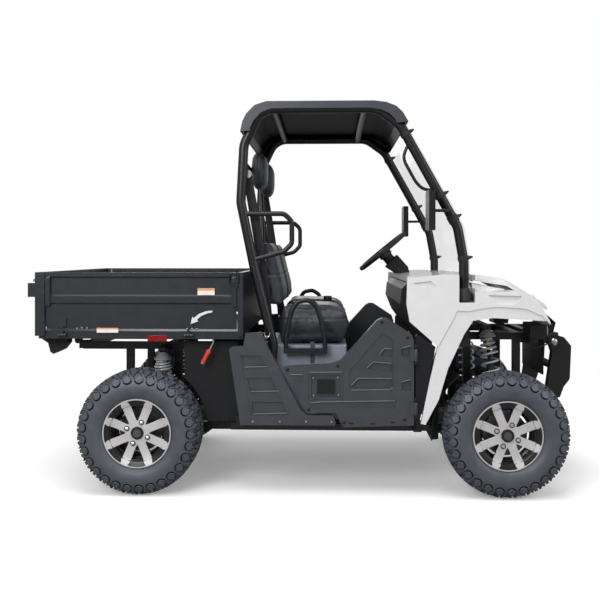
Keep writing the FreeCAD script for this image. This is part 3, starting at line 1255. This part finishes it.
def cage():
    path = pillar_path()
    radius = size("cage_tube")
    side = tube(path, radius, size("cage_bend"))
    half = size("cage_half")
    shapes = [side, flip(side)]
    for z in (below_roof("headrest_bar_drop"), size("belt_bar_z")):
        x = on_pillar(z)
        shapes.append(rod((x, -half, z), (x, half, z), radius * 0.8))
    z = path[5][2]
    for x in (ahead("cage_rear_x") + size("cage_bend") / 2, behind("cage_front_back") - size("cage_bend") / 2):
        shapes.append(rod((x, -half, z), (x, half, z), radius * 0.8))
    low_x, high_x = on_pillar(size("belt_bar_z")), on_pillar(below_roof("headrest_bar_drop"))
    for side_sign in (-1, 1):
        shapes.append(rod((low_x, half * side_sign * 0.3, size("belt_bar_z")),
                          (high_x, half * side_sign * 0.95, below_roof("headrest_bar_drop")), size("small_tube")))
    keep(made("cage_tubes", fused(shapes)), "cage")


def roof():
    """Shallow tray over the cage, with a skirt down each side."""
    rear, front = ahead("roof_rear_x"), behind("roof_front_back")
    height, top = size("roof_height"), size("roof_top")
    skin, half = size("roof_skin"), size("roof_half")
    base = top - height
    outer = across_panel("roof_outer", shares(ROOF_SHARES, rear, front, base, height), half)
    inner = across_panel("roof_inner", shares(ROOF_SHARES, rear + skin, front - skin, base, height - skin),
                         half - skin)
    band = size("roof_skirt")
    below = across_panel("roof_below", shares(ROOF_SHARES, rear + band, front - band, base - band, height),
                         half + size("overrun"))
    keep(carve("roof", outer, [inner, below]), "roof")


def windscreen():
    """Clear sheet just ahead of the front pillars, bent where they bend."""
    gap = size("cage_tube") + size("running_gap")
    thick = size("screen_thickness")
    upper = (behind("brow_back"), below_roof("brow_drop"))
    knee = (behind("screen_foot_back"), size("screen_foot_z"))
    foot = (behind("pillar_front_back"), size("pillar_front_z"))
    slope = (knee[0] - upper[0]) / (upper[1] - knee[1])
    lean = math.hypot(slope, 1)
    top_z = below_roof("screen_top_drop")
    top_x = upper[0] + (upper[1] - top_z) * slope + gap * lean
    knee_x = knee[0] + gap * lean
    outline = [(top_x, top_z), (knee_x, knee[1]), (foot[0] + gap, foot[1]),
               (foot[0] + gap, size("screen_bottom_z")), (foot[0] + gap + thick, size("screen_bottom_z")),
               (foot[0] + gap + thick, foot[1]), (knee_x + thick * lean, knee[1]),
               (top_x + thick * lean, top_z)]
    keep(across_panel("screen_sheet", outline, size("screen_half")), "windscreen")


def mirrors():
    x, z = behind("mirror_back"), size("mirror_z")
    y = -size("mirror_y")
    half = size("mirror_height") / 2
    shell = block("mirror_shell", (x - size("mirror_depth"), x), around(y, size("mirror_width")),
                  (z - half, z + half))
    pillar_share = (below_roof("brow_drop") - z) / (below_roof("brow_drop") - size("screen_foot_z"))
    pillar_x = behind("brow_back") + (size("brow_back") - size("screen_foot_back")) * pillar_share
    arm_end = -size("cage_half") - size("cage_tube") - size("running_gap")
    points = [(pillar_x, arm_end, z), (pillar_x, y, z), (x - size("mirror_depth") / 2, y, z)]
    arm = made("mirror_arm", tube(points, size("lever_radius"), size("small_bend")))
    keep(pair("mirrors", join("mirror", [shell, arm])), "mirrors")


# Seats
def cushion(name, table, xs, low, height, round_edge):
    body = side_panel(name, shares(table, xs[0], xs[1], low, height), size("seat_outer_y"), size("seat_inner_y"))
    doc.recompute()
    last = body.Tip
    edges = [f"Edge{i + 1}" for i, edge in enumerate(last.Shape.Edges)
             if abs(edge.tangentAt(edge.FirstParameter).y) < 0.01]
    rounded = body.newObject("PartDesign::Fillet", f"{name}_round")
    rounded.Base = (last, edges)
    bind(rounded, "Radius", round_edge)
    return body


def seats():
    low = size("base_top") + size("running_gap")
    seat = cushion("seat_cushion", CUSHION_SHARES, (ahead("cushion_rear_x"), ahead("cushion_front_x")), low,
                   size("cushion_height"), size("cushion_round"))
    keep(pair("seat_cushions", seat), "seat_cushions")
    rear = ahead("back_rear_x")
    back = cushion("seat_back", BACK_SHARES, (rear, rear + size("back_depth")),
                   low + size("cushion_height") + size("running_gap"), size("back_height"), size("cushion_round") / 2)
    keep(pair("seat_backs", back), "seat_backs")
    middle = (size("seat_inner_y") + size("seat_outer_y")) / 2
    bar_x = on_pillar(below_roof("headrest_bar_drop"))
    front = bar_x + size("cage_tube") * 0.8 + size("running_gap")
    rest = block("headrest", (front, front + size("headrest_depth")), around(-middle, size("headrest_width")),
                 (below_roof("headrest_drop"), below_roof("headrest_drop") + size("headrest_height")))
    keep(pair("headrests", rest), "headrests")


def seat_rails():
    """A bent grab rail beside each seat."""
    rear, front = ahead("rail_loop_rear_x"), ahead("rail_loop_front_x")
    foot, top = size("rail_loop_foot"), size("rail_loop_top")
    y = -(base_half() + size("rail_loop_stand"))
    points = [(x, y, z) for x, z in shares(LOOP_SHARES, rear, front, foot, top - foot)]
    loop = tube(points, size("small_tube"), size("small_bend"))
    bar = Part.makeBox(float(front - rear + size("small_tube") * 2), float(size("small_tube") * 2),
                       float(size("small_tube") * 2),
                       Vector(float(rear - size("small_tube")), float(y - size("small_tube")),
                              float(foot - size("small_tube") * 2)))
    foot_plate = Part.makeBox(float(front - rear),
                              float(size("rail_loop_stand") - size("running_gap")),
                              float(size("small_tube") * 2),
                              Vector(float(rear), float(y), float(foot - size("small_tube") * 2)))
    loop = fused([loop, bar, foot_plate])
    keep(made("seat_rail_pair", Part.makeCompound([loop, flip(loop)])), "seat_rails")


# Steering wheel and controls
def wheel_point(along, up):
    """A point beside the wheel's centre, along its face and up its column."""
    rake = math.radians(ANGLES["wheel_rake"])
    x = behind("wheel_centre_back") + along * math.cos(rake) - up * math.sin(rake)
    z = size("wheel_centre_z") + along * math.sin(rake) + up * math.cos(rake)
    return x, z


def steering_wheel():
    rim_ring = doc.addObject("Part::Torus", "steering_rim")
    bind(rim_ring, "Radius1", size("wheel_radius"))
    bind(rim_ring, "Radius2", size("wheel_rim"))
    drop = -size("wheel_hub_height")
    parts = [rim_ring, cylinder("steering_hub", "z", (drop * 0, drop * 0, drop), size("wheel_hub_height"),
                                size("wheel_hub"))]
    for index in range(3):
        spoke = block(f"steering_spoke_{index}", (drop * 0, size("wheel_radius")),
                      around(drop * 0, size("spoke_width")), around(drop * 0, size("spoke_thickness")))
        spoke.Placement.Rotation = Rotation(Vector(0, 0, 1), 90 + 120 * index)
        turn = math.radians(90 + 120 * index)
        bind(spoke, "Placement.Base.x", size("spoke_width") / 2 * math.sin(turn))
        bind(spoke, "Placement.Base.y", size("spoke_width") / -2 * math.cos(turn))
        parts.append(spoke)
    wheel = join("steering_wheel", parts)
    wheel.Placement.Rotation = Rotation(Vector(0, 1, 0), -ANGLES["wheel_rake"])
    put(wheel, behind("wheel_centre_back"), size("wheel_y"), size("wheel_centre_z"))
    keep(wheel, "steering_wheel")


def steering_column():
    start = wheel_point(size("wheel_radius") * 0, -size("wheel_hub_height") - size("running_gap"))
    end = wheel_point(size("wheel_radius") * 0, -size("wheel_hub_height") - size("column_length"))
    y = size("wheel_y")
    column = made("column_tube", rod((start[0], y, start[1]), (end[0], y, end[1]), size("column_radius")))
    rear, front = behind("cowl_rear_back"), behind("body_front_back")
    gap, low = size("running_gap"), size("body_bottom")
    cowl_top = [(x, z + gap) for x, z in shares(COWL_SHARES[:3], rear, front, low, size("body_top") - low)]
    under = size("dash_bottom")
    outline = [(cowl_top[0][0] - gap, under), (cowl_top[0][0] - gap, cowl_top[0][1])] + cowl_top[1:]
    outline += [(cowl_top[-1][0] + size("overrun"), cowl_top[-1][1]), (cowl_top[-1][0] + size("overrun"), under)]
    keep(carve("column", column, [across_panel("column_limit", outline, size("body_half"))]), "steering_column")


def controls():
    """Gear lever through the seat base and two pedals on the toe board."""
    x, top = ahead("lever_x"), size("lever_top")
    centre = top * 0
    lever = join("gear_lever", [
        cylinder("lever_stem", "z", (x, centre, size("base_top") + size("running_gap")),
                 top - size("base_top") - size("running_gap"), size("lever_radius")),
        cylinder("lever_knob", "z", (x, centre, top - size("knob_radius") * 2), size("knob_radius") * 2,
                 size("knob_radius")),
    ])
    toe = behind("firewall_back") - size("floor_sheet") - size("running_gap")
    pedals = []
    for index, y in enumerate((size("wheel_y") - size("pedal_width"), size("wheel_y") + size("pedal_width"))):
        pedals.append(join(f"pedal_{index}", [
            block(f"pedal_pad_{index}", (toe - size("pedal_height"), toe - size("pedal_height") + size("skin") * 2),
                  around(y, size("pedal_width")),
                  (size("pedal_z") + size("pedal_height"), size("pedal_z") + size("pedal_height") * 2)),
            block(f"pedal_stem_{index}", (toe - size("pedal_height"), toe), around(y, size("lever_radius") * 2),
                  (size("pedal_z") + size("pedal_height") * 1.4, size("pedal_z") + size("pedal_height") * 1.6)),
        ]))
    keep(group("controls", [lever] + pedals), "controls")


def bumper():
    rear, front = behind("bumper_rear_back"), FRONT_AXLE + size("front_overhang")
    low, height = size("bumper_bottom"), size("bumper_height")
    outer = size("bumper_leg_y") + size("bumper_leg_width")
    leg = side_panel("bumper_leg", shares(BUMPER_SHARES, rear, front, low, height), outer, size("bumper_leg_y"))
    parts = both("bumper", [leg])
    y = size("bumper_leg_y")
    for index, (a, b) in enumerate(((0.62, 0.82), (0.55, 0.45))):
        parts.append(cylinder(f"bumper_bar_{index}", "y", (rear + (front - rear) * a, -y, low + height * b), y * 2,
                              size("bumper_tube")))
    arm_rear = behind("rail_front_back") + size("running_gap")
    arm = block("bumper_arm", (arm_rear, rear + (front - rear) / 2), around(-size("rail_y"), size("rail_width")),
                (size("front_rail_top") - size("rail_width"), size("front_rail_top")))
    keep(join("bumper_steel", parts + both("bumper_arms", [arm])), "bumper")


# Bed
def places(low, high, table):
    """Where the parts of a row are, from their shares of its length."""
    return [low + (high - low) * share for share in table]


def strap_top():
    return size("bed_floor_z") + size("bed_floor") + size("gate_strap_width")


def knuckle_starts(centre):
    """Where the bed's two barrels beside a gate's barrel begin."""
    third, gap = size("gate_strap_width") / 3, size("running_gap")
    return [centre - third * 1.5 - gap, centre + third / 2 + gap]


def side_hinge(name, x, of_gate):
    """One side gate hinge: the gate's strap and barrel, or the bed's two barrels."""
    y, z = -size("bed_half"), size("gate_pivot_z")
    width, barrel, strap = size("gate_strap_width"), size("gate_barrel"), size("gate_strap")
    third = width / 3
    if of_gate:
        return [
            cylinder(f"{name}_barrel", "x", (x - third / 2, y, z), third, barrel),
            block(f"{name}_strap", around(x, third), (y, y + strap), (z, strap_top())),
            block(f"{name}_plate", around(x, width), (y, y + strap * 2), around(strap_top(), width)),
        ]
    parts = []
    for side, start in enumerate(knuckle_starts(x)):
        parts.append(cylinder(f"{name}_barrel_{side}", "x", (start, y, z), third, barrel))
        parts.append(block(f"{name}_arm_{side}", (start, start + third), (y, size("bed_wall") - size("bed_half")),
                           (z - barrel, size("bed_floor_z"))))
    return parts


def tail_hinge(name, y, of_gate):
    """One tailgate hinge: the gate's strap and barrel, or the bed's two barrels."""
    x, z = ahead("bed_rear_x"), size("gate_pivot_z")
    width, barrel, strap = size("gate_strap_width"), size("gate_barrel"), size("gate_strap")
    third = width / 3
    if of_gate:
        return [
            cylinder(f"{name}_barrel", "y", (x, y - third / 2, z), third, barrel),
            block(f"{name}_strap", (x, x + strap), around(y, third), (z, strap_top())),
            block(f"{name}_plate", (x, x + strap * 2), around(y, width), around(strap_top(), width)),
        ]
    parts = []
    for side, start in enumerate(knuckle_starts(y)):
        parts.append(cylinder(f"{name}_barrel_{side}", "y", (x, start, z), third, barrel))
        parts.append(block(f"{name}_arm_{side}", (x, x + size("bed_wall")), (start, start + third),
                           (z - barrel, size("bed_floor_z"))))
    return parts


def bed_side():
    """The right side of the bed: rail with its hinge ear, corner post, latch and sill."""
    rear, front = ahead("bed_rear_x"), ahead("bed_front_x")
    half, wall, sill = size("bed_half"), size("bed_wall"), size("bed_sill")
    floor, rail_low = size("bed_floor_z"), size("bed_rail_bottom")
    rail = around(-size("bed_rail_y"), size("bed_rail_width"))
    pin_x, pin_z = ahead("bed_hinge_x"), size("bed_hinge_z")
    return [
        block("bed_rail", (rear + sill, front), rail, (rail_low, floor)),
        block("rear_post", (rear, rear + size("post_length")), (-half, wall - half), (floor - sill, size("bed_top"))),
        block("rear_latch", (rear - size("latch_length"), rear), (-half, wall - half),
              (size("latch_low"), size("latch_high"))),
        block("side_sill", (rear + sill, front), (sill - half, sill * 3 - half), (floor - sill * 2, floor)),
        block("bed_ear_web", around(pin_x, size("hinge_ear") * 2), rail, (pin_z, rail_low)),
        cylinder("bed_ear_round", "y", (pin_x, rail[0], pin_z), rail[1] - rail[0], size("hinge_ear")),
    ]


def bed():
    """Floor, head board, corner posts and the rails with their hinge ears."""
    rear, front = ahead("bed_rear_x"), ahead("bed_front_x")
    half, wall, sill = size("bed_half"), size("bed_wall"), size("bed_sill")
    floor, over = size("bed_floor_z"), size("overrun")
    edge = half - sill
    right = bed_side()
    for index, x in enumerate(places(rear, front, HINGE_SHARES)):
        right += side_hinge(f"bed_hinge_{index}", x, False)
    parts = both("bed", right) + [
        block("bed_floor_plate", (rear + sill, front), (-edge, edge), (floor, floor + size("bed_floor"))),
        block("head_board", (front - wall, front), (-half, half), (floor - sill, size("bed_top"))),
        block("rear_sill", (rear + sill, rear + sill * 3), (-edge, edge), (floor - sill * 2, floor)),
    ]
    for index, x in enumerate(places(rear, front, CROSS_SHARES)):
        parts.append(block(f"bed_cross_{index}", around(x, size("post_length")), (-edge, edge),
                           (floor - sill * 2, floor)))
    for index, y in enumerate(places(-half, half, TAIL_HINGE_SHARES)):
        parts += tail_hinge(f"tail_bed_hinge_{index}", y, False)
    ear = size("bed_rail_y") + size("bed_rail_width")
    hole = cylinder("ear_hole", "y", (ahead("bed_hinge_x"), -ear - over, size("bed_hinge_z")), over * 3,
                    size("hinge_pin") + size("running_gap"))
    keep(carve("bed", join("bed_steel", parts), both("ear_holes", [hole])), "bed")


def gate_wall(low, top, outer):
    """A drop gate's section: pressed wall with a ridge and a folded lip, measured in from its outer face."""
    wall, step, lip = size("bed_wall"), size("ridge_step"), size("lip_height")
    flush = step * 0
    outside = [(step, low), (step, size("ridge_low") - step), (flush, size("ridge_low")),
               (flush, size("ridge_high")), (step, size("ridge_high") + step), (step, top - lip - step),
               (flush, top - lip), (flush, top)]
    inside = [(wall, top), (wall, top - lip), (wall - step, top - lip - step), (wall - step, low)]
    return [(outer + depth, z) for depth, z in outside + inside]


def toggle(name, start):
    """The strap and handle of a toggle latch at one end of the right side gate."""
    outer = -size("bed_half") - size("toggle_out")
    xs = (start, start + size("toggle_width"))
    high = size("toggle_high") - size("toggle_round")
    return [
        block(f"toggle_{name}_strap", xs, (outer, size("ridge_step") * 2 - size("bed_half")), (size("toggle_low"), high)),
        cylinder(f"toggle_{name}_roll", "x", (start, outer + size("toggle_round"), high), size("toggle_width"),
                 size("toggle_round")),
    ]


def gates():
    """Two side gates and the tailgate, with their hinge straps."""
    gap, wall, half = size("moving_gap"), size("bed_wall"), size("bed_half")
    low, top = size("bed_floor_z") + size("bed_floor") + gap * 1.5, size("bed_top")
    rear, front = ahead("bed_rear_x"), ahead("bed_front_x")
    parts = [long_section("side_gate", gate_wall(low, top, -half), rear + size("post_length") + gap,
                          front - wall - gap)]
    for index, x in enumerate(places(rear, front, HINGE_SHARES)):
        parts += side_hinge(f"gate_hinge_{index}", x, True)
    for name, start in (("front", front - wall - gap - size("toggle_width")), ("rear", rear + size("post_length") + gap)):
        parts += toggle(name, start)
    right = join("side_gate_set", parts)
    keep(right, "gate_right")
    keep(mirrored("side_gate_left", right), "gate_left")
    parts = [across_panel("tail_gate", gate_wall(low, top, rear), half - wall - gap)]
    for index, y in enumerate(places(-half, half, TAIL_HINGE_SHARES)):
        parts += tail_hinge(f"tail_gate_hinge_{index}", y, True)
    keep(join("tail_gate_set", parts), "tailgate")


def tail_lamps():
    rear = ahead("tail_lamp_rear_x")
    low = size("tail_lamp_top") - size("tail_lamp_height")
    outer = size("lamp_bracket_y") + size("tail_lamp_half")
    body = side_panel("tail_lamp", shares(LAMP_SHARES, rear, rear + size("tail_lamp_length"), low,
                                          size("tail_lamp_height")), outer, outer - size("tail_lamp_half") * 2)
    hanger = block("tail_lamp_hanger", (rear + size("tail_lamp_length") * 0.4, rear + size("tail_lamp_length")),
                   around(-size("lamp_bracket_y"), size("tail_lamp_half")),
                   (size("tail_lamp_top") - size("ear_thickness"), size("bed_floor_z") - size("running_gap")))
    keep(pair("tail_lamps", join("tail_lamp_set", [body, hanger])), "tail_lamps")


def bed_lever():
    """Release lever with a grip, below the right side of the bed."""
    y = -size("bed_lever_y")
    top = (ahead("bed_lever_x"), y, size("bed_floor_z") - size("bed_sill") * 2 - size("running_gap"))
    knee = (ahead("bed_lever_x"), y, size("bed_lever_top"))
    end = (ahead("bed_lever_x") - size("bed_lever_reach"), y, size("bed_lever_top") - size("bed_lever_drop"))
    share = size("grip_length") / size("bed_lever_drop")
    grip = [e + (k - e) * share for e, k in zip(end, knee)]
    shape = fused([tube([top, knee, end], size("lever_rod"), size("lever_rod") * 2), rod(grip, end, size("lever_grip"))])
    keep(made("bed_lever_rod", shape), "bed_lever")


def build():
    for end, x in (("front", FRONT_AXLE), ("rear", REAR_AXLE)):
        for side_name, side in (("left", 1), ("right", -1)):
            tyre(f"tyre_{end}_{side_name}", x, size(f"{end}_tyre_width"), side)
    for make in (rims, hubs, knuckle, suspension_arms, shocks, tie_rods, powertrain, frame, floor_pan, seat_base,
                 front_body, hood, nose, headlamps, dash, wheel_liners, quarter_panels, doors, side_trim, cage,
                 hip_hoops, roof, windscreen, mirrors, seats, seat_rails, steering_wheel, steering_column, controls, bumper, bed,
                 gates, tail_lamps, bed_lever):
        make()
    doc.recompute()


def write():
    """Checks every object and writes each sub-part to its own file."""
    for thing in doc.Objects:
        if {"Invalid", "Error"} & set(thing.State):
            raise RuntimeError(f"{thing.Label} failed: {thing.State}")
    for label, thing in NODES.items():
        if thing.Shape.isNull() or not thing.Shape.isValid() or not thing.Shape.Solids:
            raise RuntimeError(f"{label} has no valid solid")
    os.makedirs("parts", exist_ok=True)
    for label, thing in NODES.items():
        thing.Shape.exportStep(f"parts/{label}.step")
        box = thing.Shape.BoundBox
        print(f"{label}: {len(thing.Shape.Solids)} solids, {box.XLength:.0f} x {box.YLength:.0f} x {box.ZLength:.0f}")


build()
write()
